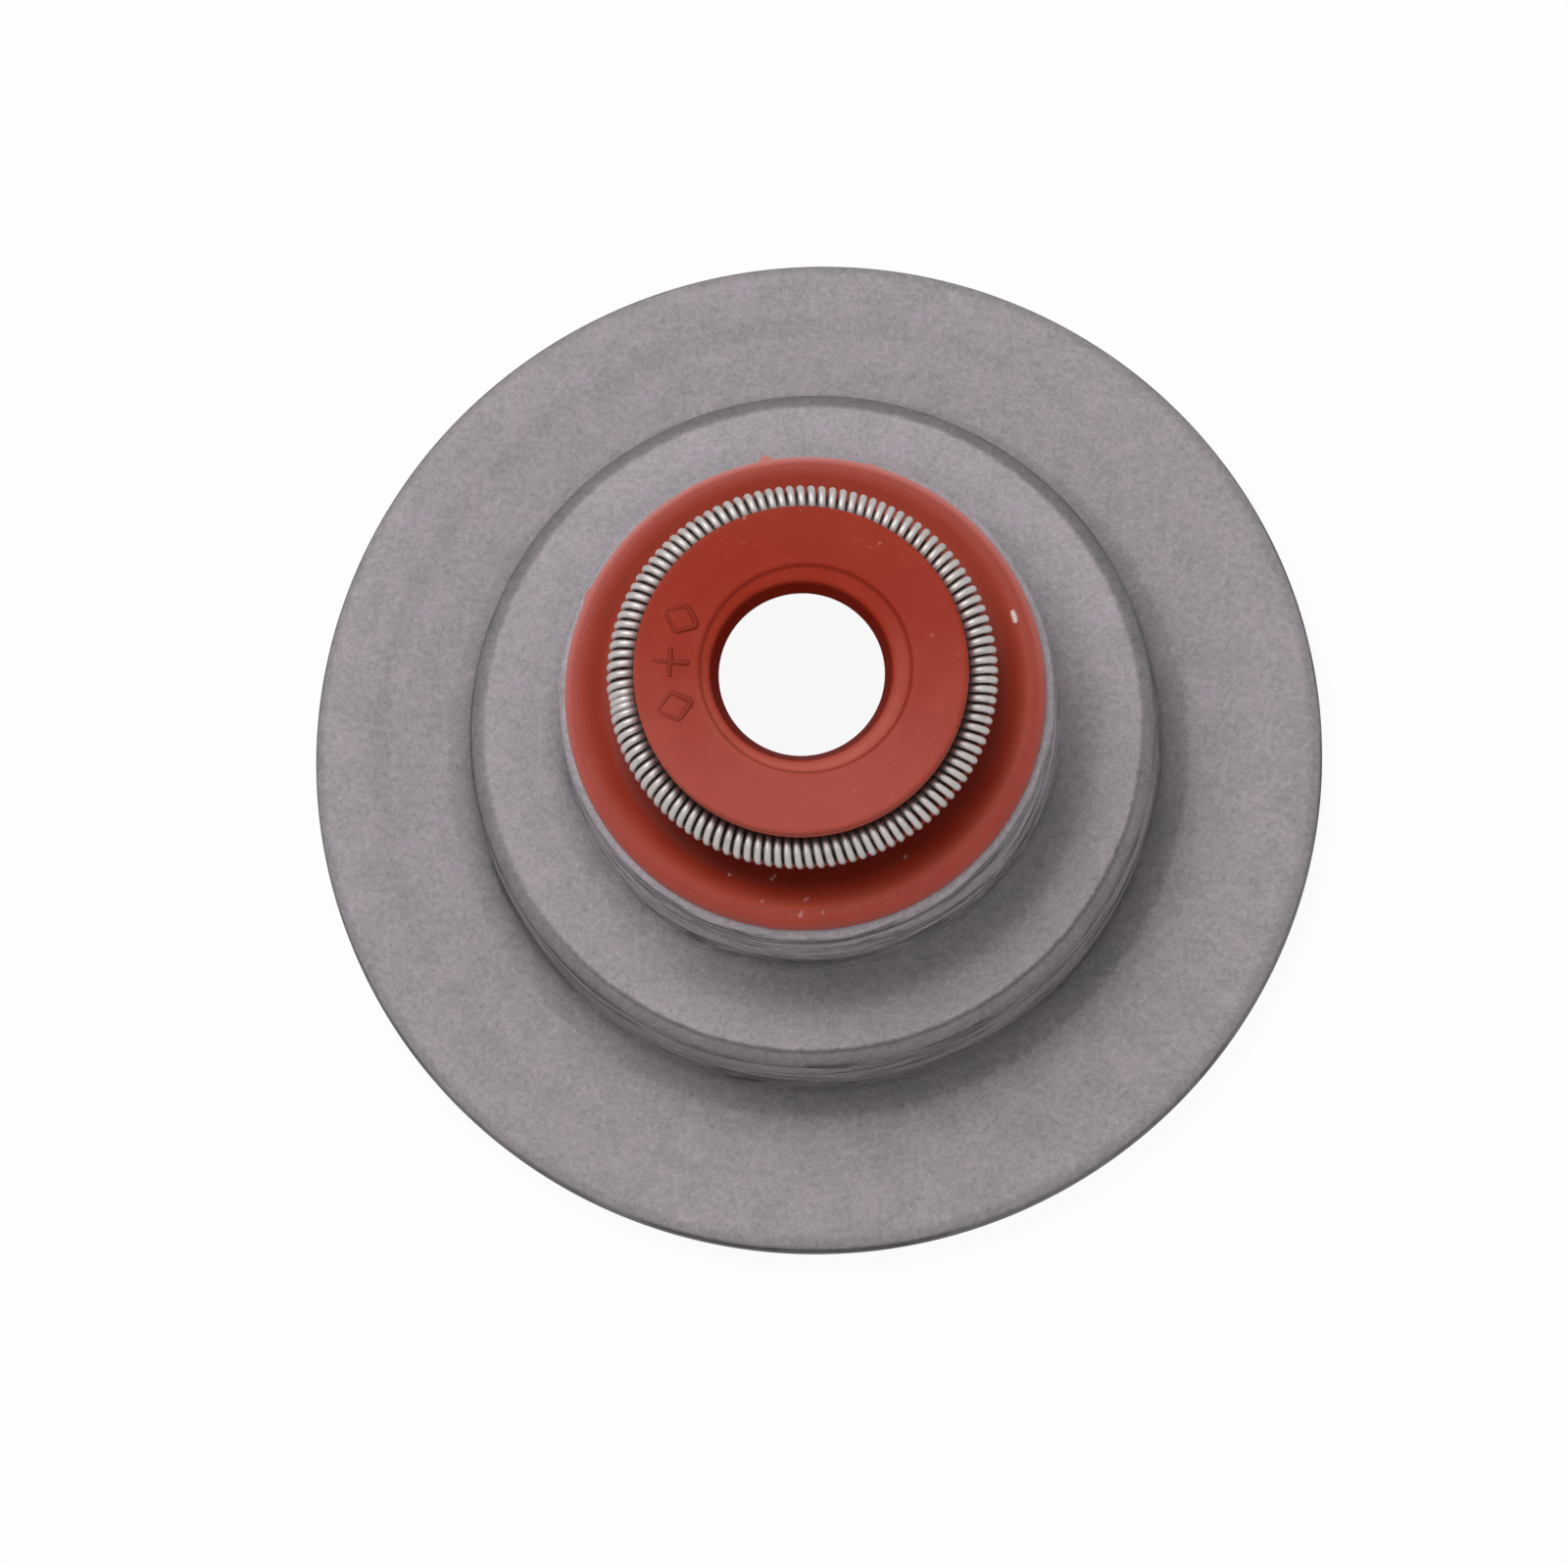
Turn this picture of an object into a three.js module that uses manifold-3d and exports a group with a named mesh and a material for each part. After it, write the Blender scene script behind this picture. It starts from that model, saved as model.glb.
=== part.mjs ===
// Valve stem seal with its own spring-seat flange, for a 6 mm valve stem and an 11 mm valve guide.
// Millimetres. +Z runs up the valve stem. The origin is the centre of the flange's underside.

import * as THREE from 'three';
import { ParametricGeometry } from 'three/addons/geometries/ParametricGeometry.js';
import { mergeVertices } from 'three/addons/utils/BufferGeometryUtils.js';
import Module from 'manifold-3d';

const wasm = await Module();
wasm.setup();

// Steel shell, one pressing of even thickness
const sheetThickness = 1.3;
const flangeDiameter = 34;
const flangeEdgeRound = 0.4;
const bandWidth = 1.8; // raised band along the flange's edge
const bandHeight = 0.1;
const bandSlopeWidth = 0.65;
const stepDiameter = 23;
const stepHeight = 4.25; // from the spring seat to the shoulder
const stepFootRound = 1.0;
const stepCornerRound = 0.55;
const neckDiameter = 16.4;
const neckHeight = 5.2; // from the shoulder to the neck's top
const neckFootRound = 1.2;
const neckCornerRound = 0.25;
const neckTopThickness = 1.0; // drawn thinner than the sheet
const neckMouthDiameter = 11.6;
const insideCornerRound = 0.3;

// Garter spring
const springRingDiameter = 11.7; // to the middle of the coils
const coilDiameter = 1.2;
const wireDiameter = 0.27;
const coilCount = 114;
const springHeight = 2.75; // of the coils' middle, above the neck's top

// Rubber seal, bonded to the shell
const rimHeight = 0.8;
const rimWidth = 0.5;
const rimRound = 0.4;
const troughThickness = 0.4; // rubber left over the steel between the rim and the lip
const troughWallWidth = 0.5;
const lipWaistDiameter = 11.3;
const lipFootRound = 0.35;
const springClearance = 0.03;
const retainingBead = 0.06; // the bead stands this far out past the groove's lower edge
const lipHeight = 3.95; // above the neck's top
const lipTopDiameter = 11;
const lipEdgeRound = 0.08;
const lipFaceDrop = 0.12; // the face sinks this much towards the bore
const mouldLineDiameter = 7;
const mouldLineStep = 0.05;
const boreMouthDiameter = 6.05;
const boreMouthDrop = 0.18; // from the mould line to the bore's mouth
const sealingEdgeDiameter = 5.45; // the 6 mm stem stretches it
const sealingEdgeDrop = 0.55; // from the bore's mouth to the sealing edge
const stemRoomDiameter = 7.6;
const stemRoomConeHeight = 1.6;
const stemRoomChamfer = 0.3;
const guideDiameter = 11;
const guideStopThickness = 0.5; // rubber between the guide's end and the steel
const reliefClearance = 0.1; // from the guide to the socket's wall between the ribs
const ribGrip = 0.15; // the ribs stand this far into the guide's place
const ribCount = 3;
const ribHeight = 0.7;
const ribLandHeight = 0.2;
const ribSpacing = 1.15;
const socketMouthChamfer = 0.45;

// Raised marks on the lip's face: a cross between two diamonds
const markRingDiameter = 8.6;
const markMiddleAngle = 176; // degrees anticlockwise from +X
const markSpacingAngle = 20;
const markLength = 1.25; // along the radius
const markBreadth = 1.05;
const markStroke = 0.18;
const markRelief = 0.06;
const markRoot = 0.2; // buried in the rubber

// Facets
const turnSegments = 64;
const bendSegments = 4;
const cornerSegments = 2;
const grooveSegments = 7;
const stepsPerCoil = 6;
const wireSides = 4;

// Heights and radii that follow from the sizes above
const flangeRadius = flangeDiameter / 2;
const stepRadius = stepDiameter / 2;
const stepInnerRadius = stepRadius - sheetThickness;
const neckRadius = neckDiameter / 2;
const neckInnerRadius = neckRadius - sheetThickness;
const neckMouthRadius = neckMouthDiameter / 2;
const seatZ = sheetThickness;
const shoulderZ = seatZ + stepHeight;
const shoulderUndersideZ = shoulderZ - sheetThickness;
const neckTopZ = shoulderZ + neckHeight;
const neckTopUndersideZ = neckTopZ - neckTopThickness;
const springRingRadius = springRingDiameter / 2;
const springZ = neckTopZ + springHeight;

const radians = THREE.MathUtils.degToRad;
const point = (radius, z) => new THREE.Vector2(radius, z);

// Points of an arc in the plane of radius and height, from one angle to another in degrees
function arc(centreRadius, centreZ, size, fromAngle, toAngle, segments) {
  const points = [];
  for (let i = 0; i <= segments; i++) {
    const angle = radians(fromAngle + ((toAngle - fromAngle) * i) / segments);
    points.push(point(centreRadius + size * Math.cos(angle), centreZ + size * Math.sin(angle)));
  }
  return points;
}

// The shell's bends keep the sheet's thickness, so the outer and inner faces share each bend's centre
const neckBendOuter = () =>
  arc(neckRadius + neckFootRound, shoulderZ + neckFootRound, neckFootRound, 270, 180, bendSegments);
const neckBendInner = () =>
  arc(neckRadius + neckFootRound, shoulderZ + neckFootRound, neckFootRound + sheetThickness,
    180, 270, bendSegments);
const stepBendOuter = () =>
  arc(stepRadius + stepFootRound, seatZ + stepFootRound, stepFootRound, 270, 180, bendSegments);
const stepBendInner = () =>
  arc(stepRadius + stepFootRound, seatZ + stepFootRound, stepFootRound + sheetThickness,
    180, 270, bendSegments);

// Inside of the neck's turned-in top, from the edge of its mouth to the neck's wall
const neckTopInside = () => [
  point(neckMouthRadius, neckTopZ),
  point(neckMouthRadius, neckTopUndersideZ),
  ...arc(neckInnerRadius - insideCornerRound, neckTopUndersideZ - insideCornerRound,
    insideCornerRound, 90, 0, cornerSegments),
];

function shellOutline() {
  const bandZ = seatZ + bandHeight;
  const bandInnerRadius = flangeRadius - bandWidth;
  return [
    ...arc(flangeRadius - flangeEdgeRound, flangeEdgeRound, flangeEdgeRound, 270, 360, cornerSegments),
    ...arc(flangeRadius - flangeEdgeRound, bandZ - flangeEdgeRound, flangeEdgeRound, 0, 90, cornerSegments),
    point(bandInnerRadius, bandZ),
    point(bandInnerRadius - bandSlopeWidth, seatZ),
    ...stepBendOuter(),
    ...arc(stepRadius - stepCornerRound, shoulderZ - stepCornerRound, stepCornerRound, 0, 90, bendSegments),
    ...neckBendOuter(),
    ...arc(neckRadius - neckCornerRound, neckTopZ - neckCornerRound, neckCornerRound, 0, 90, cornerSegments),
    ...neckTopInside(),
    ...neckBendInner(),
    ...arc(stepInnerRadius - insideCornerRound, shoulderUndersideZ - insideCornerRound,
      insideCornerRound, 90, 0, cornerSegments),
    ...stepBendInner(),
  ];
}

// Top of the rubber outside the lip: the rim, and the trough between it and the lip's foot
function rimOutline() {
  const rimRadius = neckRadius - neckCornerRound;
  const rimTopZ = neckTopZ + rimHeight;
  const troughZ = neckTopZ + troughThickness;
  const rimInnerRadius = rimRadius - rimWidth;
  return [
    point(rimRadius, neckTopZ),
    ...arc(rimRadius - rimRound, rimTopZ - rimRound, rimRound, 0, 90, cornerSegments),
    point(rimInnerRadius, rimTopZ),
    point(rimInnerRadius - troughWallWidth, troughZ),
    ...arc(lipWaistDiameter / 2 + lipFootRound, troughZ + lipFootRound,
      lipFootRound, 270, 180, cornerSegments),
  ];
}

// Outside of the lip head: the retaining bead, the spring's groove and the top edge
function lipOutsideOutline() {
  const grooveRadius = coilDiameter / 2 + springClearance;
  const lipTopRadius = lipTopDiameter / 2;
  const lipTopZ = neckTopZ + lipHeight;
  const openingAngle = THREE.MathUtils.radToDeg(
    Math.acos(THREE.MathUtils.clamp((lipTopRadius - springRingRadius) / grooveRadius, -1, 1)));
  const groove = arc(springRingRadius, springZ, grooveRadius, 300, openingAngle, grooveSegments);
  const bead = groove[0].clone().add(point(retainingBead, -retainingBead));
  return [
    point(lipWaistDiameter / 2, bead.y - (bead.x - lipWaistDiameter / 2)),
    bead.clone().add(point(0, -2 * retainingBead)),
    bead,
    ...groove,
    ...arc(lipTopRadius - lipEdgeRound, lipTopZ - lipEdgeRound, lipEdgeRound, 0, 90, cornerSegments),
  ];
}

const lipFaceSlope = lipFaceDrop / ((lipTopDiameter - mouldLineDiameter) / 2);
const lipFaceZ = (radius) => neckTopZ + lipHeight - (lipTopDiameter / 2 - radius) * lipFaceSlope;

// Inside of the lip: the dished face, the bore down to the sealing edge, and the room for the stem behind it
function boreOutline() {
  const mouldLineRadius = mouldLineDiameter / 2;
  const mouldLineZ = lipFaceZ(mouldLineRadius);
  const boreMouthZ = mouldLineZ - boreMouthDrop;
  const sealingEdgeZ = boreMouthZ - sealingEdgeDrop;
  const stemRoomRadius = stemRoomDiameter / 2;
  const guideStopZ = neckTopUndersideZ - guideStopThickness;
  return [
    point(mouldLineRadius, mouldLineZ),
    point(mouldLineRadius - mouldLineStep, mouldLineZ - mouldLineStep),
    point(boreMouthDiameter / 2, boreMouthZ),
    point(sealingEdgeDiameter / 2, sealingEdgeZ),
    point(stemRoomRadius, sealingEdgeZ - stemRoomConeHeight),
    point(stemRoomRadius, guideStopZ + stemRoomChamfer),
    point(stemRoomRadius + stemRoomChamfer, guideStopZ),
  ];
}

// Socket for the valve guide: a relieved wall with ribs that grip the guide, and a wider mouth
function socketOutline(bottomZ) {
  const wallRadius = guideDiameter / 2 + reliefClearance;
  const ribRadius = guideDiameter / 2 - ribGrip;
  const topZ = neckTopUndersideZ - guideStopThickness;
  const points = [point(wallRadius, topZ)];
  const ribsHeight = (ribCount - 1) * ribSpacing;
  const middleZ = (topZ + bottomZ + socketMouthChamfer) / 2;
  for (let i = 0; i < ribCount; i++) {
    const ribZ = middleZ + ribsHeight / 2 - i * ribSpacing;
    points.push(point(wallRadius, ribZ + ribHeight / 2));
    points.push(point(ribRadius, ribZ + ribLandHeight / 2));
    points.push(point(ribRadius, ribZ - ribLandHeight / 2));
    points.push(point(wallRadius, ribZ - ribHeight / 2));
  }
  points.push(point(wallRadius, bottomZ + socketMouthChamfer));
  points.push(point(wallRadius + socketMouthChamfer, bottomZ));
  return points;
}

function rubberOutline() {
  // The lining follows the neck's inner bend halfway round
  const bond = neckBendInner().slice(0, bendSegments / 2 + 1).reverse();
  return [
    ...rimOutline(),
    ...lipOutsideOutline(),
    ...boreOutline(),
    ...socketOutline(bond[0].y),
    ...bond,
    ...neckTopInside().reverse(),
  ];
}

// Turns a closed outline round +Z
function turned(outline) {
  const closed = [...outline, outline[0].clone()];
  return new THREE.LatheGeometry(closed, turnSegments).rotateX(Math.PI / 2);
}

function toSolid(geometry) {
  geometry.deleteAttribute('normal');
  geometry.deleteAttribute('uv');
  const merged = mergeVertices(geometry, 1e-5);
  const vertProperties = new Float32Array(merged.attributes.position.array);
  const triVerts = new Uint32Array(merged.index.array);
  return new wasm.Manifold(new wasm.Mesh({ numProp: 3, vertProperties, triVerts }));
}

function toGeometry(solid) {
  const mesh = solid.getMesh();
  const geometry = new THREE.BufferGeometry();
  geometry.setAttribute('position', new THREE.BufferAttribute(mesh.vertProperties, 3));
  geometry.setIndex(new THREE.BufferAttribute(mesh.triVerts, 1));
  return geometry;
}

function diamondShape(length, breadth) {
  return new THREE.Shape([
    point(length / 2, 0),
    point(0, breadth / 2),
    point(-length / 2, 0),
    point(0, -breadth / 2),
  ]);
}

function diamondMark() {
  const shape = diamondShape(markLength, markBreadth);
  const sideSlope = Math.hypot(markLength, markBreadth);
  const holeLength = markLength - (2 * markStroke * sideSlope) / markBreadth;
  shape.holes.push(new THREE.Path(
    diamondShape(holeLength, (holeLength * markBreadth) / markLength).getPoints().reverse()));
  return shape;
}

function crossMark() {
  const long = markLength / 2;
  const wide = markBreadth / 2;
  const half = markStroke / 2;
  return new THREE.Shape([
    point(long, -half), point(long, half), point(half, half), point(half, wide),
    point(-half, wide), point(-half, half), point(-long, half), point(-long, -half),
    point(-half, -half), point(-half, -wide), point(half, -wide), point(half, -half),
  ]);
}

// Raises one mark on the lip's face at an angle round the bore
function raisedMark(shape, angle) {
  const radius = markRingDiameter / 2;
  const geometry = new THREE.ExtrudeGeometry(shape, { depth: markRoot + markRelief, bevelEnabled: false });
  geometry.translate(radius, 0, lipFaceZ(radius) - markRoot);
  return toSolid(geometry.rotateZ(radians(angle)));
}

function rubberSeal() {
  const marks = [diamondMark(), crossMark(), diamondMark()];
  let solid = toSolid(turned(rubberOutline()));
  marks.forEach((shape, i) => {
    const angle = markMiddleAngle + (i - 1) * markSpacingAngle;
    solid = solid.add(raisedMark(shape, angle));
  });
  return toGeometry(solid);
}

// The wire winds round a ring, outwards over the top as it goes anticlockwise.
// Its last coil runs into its first
function garterSpring() {
  const windingRadius = (coilDiameter - wireDiameter) / 2;
  const wireCentre = (turn) => {
    const winding = turn * coilCount;
    const radius = springRingRadius - windingRadius * Math.cos(winding);
    return new THREE.Vector3(
      radius * Math.cos(turn), radius * Math.sin(turn), springZ + windingRadius * Math.sin(winding));
  };
  const surface = (side, length, target) => {
    const turn = length * 2 * Math.PI;
    const nudge = 1e-4;
    const centre = wireCentre(turn);
    const along = wireCentre(turn + nudge).sub(wireCentre(turn - nudge)).normalize();
    const coilMiddle = new THREE.Vector3(
      springRingRadius * Math.cos(turn), springRingRadius * Math.sin(turn), springZ);
    const across = coilMiddle.sub(centre).cross(along).normalize();
    const outward = along.clone().cross(across);
    const sideAngle = -side * 2 * Math.PI;
    target.copy(centre)
      .addScaledVector(outward, (wireDiameter / 2) * Math.cos(sideAngle))
      .addScaledVector(across, (wireDiameter / 2) * Math.sin(sideAngle));
  };
  return new ParametricGeometry(surface, wireSides, coilCount * stepsPerCoil);
}

function part(name, geometry, color, roughness, metalness) {
  const mesh = new THREE.Mesh(geometry, new THREE.MeshStandardMaterial({ color, roughness, metalness }));
  mesh.name = name;
  return mesh;
}

const group = new THREE.Group();
group.add(part('steel_shell', turned(shellOutline()), 0x9a969a, 0.55, 0.9));
group.add(part('rubber_seal', rubberSeal(), 0xa5402f, 0.6, 0));
group.add(part('garter_spring', garterSpring(), 0xc9c7c4, 0.3, 1));

export default group;
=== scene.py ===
import math

import bpy
from mathutils import Matrix, Vector


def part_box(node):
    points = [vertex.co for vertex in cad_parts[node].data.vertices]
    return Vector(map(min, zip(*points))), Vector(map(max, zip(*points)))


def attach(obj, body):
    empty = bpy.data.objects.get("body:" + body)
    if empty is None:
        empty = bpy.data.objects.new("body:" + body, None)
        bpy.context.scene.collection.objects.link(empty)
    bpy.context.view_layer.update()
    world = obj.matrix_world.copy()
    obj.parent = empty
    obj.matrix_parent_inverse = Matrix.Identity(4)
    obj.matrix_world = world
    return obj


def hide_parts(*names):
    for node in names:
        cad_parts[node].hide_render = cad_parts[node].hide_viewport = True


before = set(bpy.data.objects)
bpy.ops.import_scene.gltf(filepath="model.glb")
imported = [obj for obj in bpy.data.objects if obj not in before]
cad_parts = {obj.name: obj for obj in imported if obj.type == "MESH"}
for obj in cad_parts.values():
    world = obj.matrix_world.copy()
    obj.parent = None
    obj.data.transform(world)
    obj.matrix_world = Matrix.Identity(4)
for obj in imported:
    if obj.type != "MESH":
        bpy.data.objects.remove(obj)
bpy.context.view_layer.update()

# Sizes in millimetres. The scene is in metres
MM = 0.001

# Steel shell
SHEET = 1.3
FLANGE_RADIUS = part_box("steel_shell")[1].x / MM
FLANGE_EDGE_ROUND = 0.5
BAND_WIDTH = 1.8
BAND_HEIGHT = 0.075
BAND_SLOPE = 0.8
STEP_RADIUS = 11.5
STEP_FOOT_ROUND = 1.0
STEP_CORNER_ROUND = 0.55
NECK_RADIUS = 8.2
NECK_FOOT_ROUND = 1.2
NECK_CORNER_ROUND = 0.25
NECK_TOP_THICKNESS = 1.0
NECK_MOUTH_RADIUS = 5.8
INSIDE_CORNER_ROUND = 0.3
SEAT_Z = SHEET
SHOULDER_Z = SEAT_Z + 4.25
NECK_TOP_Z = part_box("steel_shell")[1].z / MM

# Garter spring
RING_RADIUS = 5.85
COIL_RADIUS = 0.6
WIRE_RADIUS = 0.135
COILS = 114
SPRING_Z = NECK_TOP_Z + 2.75
SPRING_JOINT_ANGLE = 188
SPRING_JOINT_SPAN = 9

# Rubber seal
RIM_HEIGHT = 0.8
RIM_WIDTH = 0.5
RIM_ROUND = 0.4
TROUGH_THICKNESS = 0.48
TROUGH_WALL = 0.75
TROUGH_EASE = 0.04
WAIST_RADIUS = 5.65
LIP_FOOT_ROUND = 0.35
GROOVE_CLEARANCE = 0.03
BEAD = 0.06
LIP_TOP_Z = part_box("rubber_seal")[1].z / MM
LIP_TOP_RADIUS = 5.5
LIP_EDGE_ROUND = 0.08
LIP_FACE_DROP = 0.12
MOULD_LINE_RADIUS = 3.5
MOULD_LINE_STEP = 0.05
MOULD_LINE_SHIFT = (0.16, 0.04)
BORE_MOUTH_RADIUS = 3.025
BORE_MOUTH_DROP = 0.18
SEALING_EDGE_RADIUS = 2.725
SEALING_EDGE_DROP = 0.55
STEM_ROOM_RADIUS = 3.8
STEM_ROOM_CONE = 1.6
STEM_ROOM_CHAMFER = 0.3
GUIDE_RADIUS = 5.5
GUIDE_STOP = 0.5
RELIEF = 0.1
RIB_GRIP = 0.15
RIBS = 3
RIB_HEIGHT = 0.7
RIB_LAND = 0.2
RIB_SPACING = 1.15
SOCKET_CHAMFER = 0.45

# Raised marks on the lip's face
MARK_RING_RADIUS = 4.3
MARK_MIDDLE_ANGLE = 176
MARK_SPACING_ANGLE = 20
MARK_LENGTH = 1.4
MARK_BREADTH = 1.15
MARK_STROKE = 0.18
MARK_RELIEF = 0.06
MARK_CORNER = 0.12

# Nibs of flash on the rubber's rim: angle in degrees, height and half width in millimetres
FLASH_NIBS = [(99.5, 0.22, 0.20), (155, 0.09, 0.26), (73.7, 0.07, 0.22), (262, 0.05, 0.35)]

# Specks of lint on the rubber: place, reach and strength
LINT = [
    (6.87, 2.54, 0.12, 1.0), (6.9, 2.45, 0.14, 1.0), (6.93, 2.35, 0.14, 1.0), (6.95, 2.26, 0.12, 1.0),
    (-2.5, -6.15, 0.09, 0.3), (-1.1, -6.3, 0.1, 0.2), (-1.0, -6.2, 0.08, 0.2), (3.3, -5.6, 0.1, 0.2),
    (-1.4, -7.1, 0.09, 0.25), (0.0, -7.05, 0.09, 0.3), (0.08, -7.0, 0.08, 0.25), (-0.15, -7.6, 0.1, 0.3),
    (-0.1, -7.5, 0.08, 0.25), (0.6, -7.5, 0.09, 0.2), (-1.85, 5.1, 0.1, 0.2), (2.6, 4.2, 0.08, 0.15),
]

# Fineness of the meshes
TURN_SEGMENTS = 320
MERGE_DISTANCE = 0.001


class Socket:
    """A node's output, to be used in Python sums."""

    def __init__(self, nodes, output):
        self.nodes = nodes
        self.output = output

    def other(self, name):
        return Socket(self.nodes, self.output.node.outputs[name])

    def math(self, operation, *values):
        return self.nodes.add("ShaderNodeMath", {"operation": operation}, dict(enumerate(values)))

    def __add__(self, value):
        return self.math("ADD", self, value)

    def __radd__(self, value):
        return self.math("ADD", value, self)

    def __sub__(self, value):
        return self.math("SUBTRACT", self, value)

    def __rsub__(self, value):
        return self.math("SUBTRACT", value, self)

    def __mul__(self, value):
        return self.math("MULTIPLY", self, value)

    def __rmul__(self, value):
        return self.math("MULTIPLY", value, self)

    def __truediv__(self, value):
        return self.math("DIVIDE", self, value)

    def __rtruediv__(self, value):
        return self.math("DIVIDE", value, self)

    def __pow__(self, value):
        return self.math("POWER", self, value)

    def __mod__(self, value):
        return self.math("MODULO", self, value)

    def __abs__(self):
        return self.math("ABSOLUTE", self)


class Nodes:
    """Adds nodes to one tree, for a finish or for a shape."""

    def __init__(self, tree):
        self.tree = tree

    def add(self, kind, settings=None, sockets=None, output=0):
        node = self.tree.nodes.new(kind)
        for name, value in (settings or {}).items():
            setattr(node, name, value)
        for key, value in (sockets or {}).items():
            if isinstance(value, Socket):
                self.tree.links.new(value.output, node.inputs[key])
            else:
                node.inputs[key].default_value = value
        return Socket(self, node.outputs[output]) if len(node.outputs) else None

    def noise(self, place, scale, detail=2.0, roughness=0.5, distortion=0.0):
        return self.add("ShaderNodeTexNoise", {}, {
            "Vector": place, "Scale": scale, "Detail": detail,
            "Roughness": roughness, "Distortion": distortion})

    def mix(self, factor, first, second, how="MIX"):
        """Two colours, mixed"""
        return self.add("ShaderNodeMix", {"data_type": "RGBA", "blend_type": how},
                        {0: factor, 6: first, 7: second}, output=2)

    def vector_math(self, operation, *values, output=0):
        return self.add("ShaderNodeVectorMath", {"operation": operation}, dict(enumerate(values)), output)

    def scaled(self, vector, factor):
        return self.add("ShaderNodeVectorMath", {"operation": "SCALE"}, {0: vector, "Scale": factor})

    def combine(self, x, y, z):
        return self.add("ShaderNodeCombineXYZ", {}, {0: x, 1: y, 2: z})

    def separate(self, vector):
        x = self.add("ShaderNodeSeparateXYZ", {}, {0: vector})
        return x, x.other("Y"), x.other("Z")

    def distance(self, place, point):
        return self.vector_math("DISTANCE", place, point, output="Value")

    def cosine(self, value):
        return value.math("COSINE", value)

    def sine(self, value):
        return value.math("SINE", value)

    def near(self, distance, reach):
        """1 at no distance, falling smoothly to 0 at the reach"""
        return self.fall(distance, 0.0, reach)

    def rise(self, value, start, end):
        """0 up to the start, rising smoothly to 1 at the end"""
        return self.smooth_step(value, start, end, 0.0, 1.0)

    def fall(self, value, start, end):
        """1 up to the start, falling smoothly to 0 at the end"""
        return self.smooth_step(value, start, end, 1.0, 0.0)

    def smooth_step(self, value, start, end, before, after):
        return self.add("ShaderNodeMapRange", {"interpolation_type": "SMOOTHSTEP"}, {
            "Value": value, "From Min": start, "From Max": end, "To Min": before, "To Max": after})


class Finish(Nodes):
    """A material built from nodes. Its patterns are placed in millimetres on the object."""

    def __init__(self, name):
        self.material = bpy.data.materials.new(name)
        self.material.use_nodes = True
        self.material.node_tree.nodes.clear()
        super().__init__(self.material.node_tree)
        place = self.add("ShaderNodeTexCoord", output="Object")
        self.place = self.scaled(place, 1 / MM)
        self.x, self.y, self.z = self.separate(self.place)
        self.facing = place.other("Normal")

    def radius(self):
        return (self.x * self.x + self.y * self.y) ** 0.5

    def towards(self, angle):
        """How far a point lies from the axis in the direction at this angle, in degrees from +X"""
        turn = math.radians(angle)
        return self.x * math.cos(turn) + self.y * math.sin(turn)

    def round_place(self, across, along):
        """The place with its pattern drawn out round the axis, fine across and slow along the turn"""
        radius = self.radius()
        slow_x = self.x / radius * along
        slow_y = self.y / radius * along
        return self.combine(slow_x + radius * across, slow_y, self.z * across)

    def surface(self, height, bump_distance, **sockets):
        named = {name.replace("_", " "): value for name, value in sockets.items()}
        bump = self.add("ShaderNodeBump", {}, {"Height": height, "Distance": bump_distance * MM})
        shader = self.add("ShaderNodeBsdfPrincipled", {}, {**named, "Normal": bump})
        self.add("ShaderNodeOutputMaterial", {}, {"Surface": shader})
        return self.material


class Shape(Nodes):
    """A Geometry Nodes tree with named inputs."""

    KINDS = {int: "NodeSocketInt", float: "NodeSocketFloat", bpy.types.Material: "NodeSocketMaterial"}

    def __init__(self, name, inputs):
        super().__init__(bpy.data.node_groups.new(name, "GeometryNodeTree"))
        interface = self.tree.interface
        interface.new_socket(name="Outline", in_out="INPUT", socket_type="NodeSocketGeometry")
        self.inputs = inputs
        self.identifiers = {}
        for label, value in inputs.items():
            kind = self.KINDS[type(value)]
            self.identifiers[label] = interface.new_socket(
                name=label, in_out="INPUT", socket_type=kind).identifier
        interface.new_socket(name="Geometry", in_out="OUTPUT", socket_type="NodeSocketGeometry")
        self.group_input = self.add("NodeGroupInput")

    def input(self, label):
        return self.group_input.other(label)

    def index(self):
        return self.add("GeometryNodeInputIndex")

    def finish(self, geometry):
        smooth = self.add("GeometryNodeSetShadeSmooth", {}, {"Geometry": geometry})
        realized = self.add("GeometryNodeRealizeInstances", {}, {"Geometry": smooth})
        dressed = self.add("GeometryNodeSetMaterial", {}, {
            "Geometry": realized, "Material": self.input("Finish")})
        self.add("NodeGroupOutput", {}, {"Geometry": dressed})

    def make(self, name, outline):
        """Runs the tree on an outline and keeps the result as a plain mesh"""
        source = bpy.data.objects.new(name + "_outline", outline)
        bpy.context.scene.collection.objects.link(source)
        modifier = source.modifiers.new("shape", "NODES")
        modifier.node_group = self.tree
        for label, value in self.inputs.items():
            modifier[self.identifiers[label]] = value
        evaluated = source.evaluated_get(bpy.context.evaluated_depsgraph_get())
        mesh = bpy.data.meshes.new_from_object(evaluated)
        bpy.data.objects.remove(source)
        mesh.name = name
        piece = bpy.data.objects.new(name, mesh)
        bpy.context.scene.collection.objects.link(piece)
        return piece


def colour(red, green, blue):
    """A colour given as 0 to 255 on screen, made linear"""
    def linear(value):
        value = value / 255
        return value / 12.92 if value <= 0.04045 else ((value + 0.055) / 1.055) ** 2.4
    return linear(red), linear(green), linear(blue), 1.0


# Outlines, as (radius, height) points in millimetres

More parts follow.
